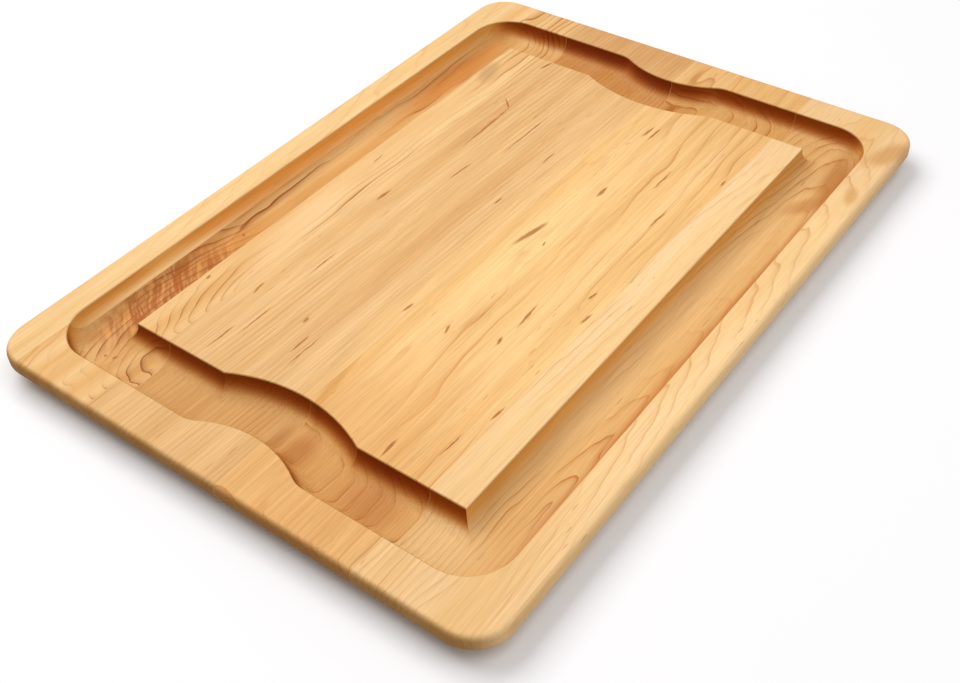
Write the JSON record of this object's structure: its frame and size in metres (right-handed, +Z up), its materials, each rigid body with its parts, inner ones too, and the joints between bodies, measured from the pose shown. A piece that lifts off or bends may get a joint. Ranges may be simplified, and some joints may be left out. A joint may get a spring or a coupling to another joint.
{
  "type": "carving board",
  "caption": "Rectangular edge-glued maple carving board with rounded corners, a deep juice groove waved at both ends, and an undercut edge for lifting.",
  "frame": {"origin": "middle of the underside", "axes": "+Z up from the surface it lies on, +X along the grain to one short end, +Y across the staves to the narrow left edge stave"},
  "size_m": [0.508, 0.362, 0.0222],
  "materials": {
    "maple_left_edge": "satin food-safe oil, pale cream, straight grain",
    "maple_left": "satin food-safe oil, warm honey, growth rings and curly figure",
    "maple_centre": "satin food-safe oil, pinkish tan, straight grain with brown flecks",
    "maple_right": "satin food-safe oil, yellow, flat-sawn cathedral grain",
    "maple_right_edge": "satin food-safe oil, palest cream, soft wavy grain",
    "cured_wood_glue": "thin amber-brown bond line, sanded flush"
  },
  "bodies": {
    "root": {"left_edge_stave": "maple_left_edge", "left_stave": "maple_left", "centre_stave": "maple_centre", "right_stave": "maple_right", "right_edge_stave": "maple_right_edge", "left_edge_glue_line": "cured_wood_glue", "left_glue_line": "cured_wood_glue", "right_glue_line": "cured_wood_glue", "right_edge_glue_line": "cured_wood_glue"}
  },
  "joints": []
}
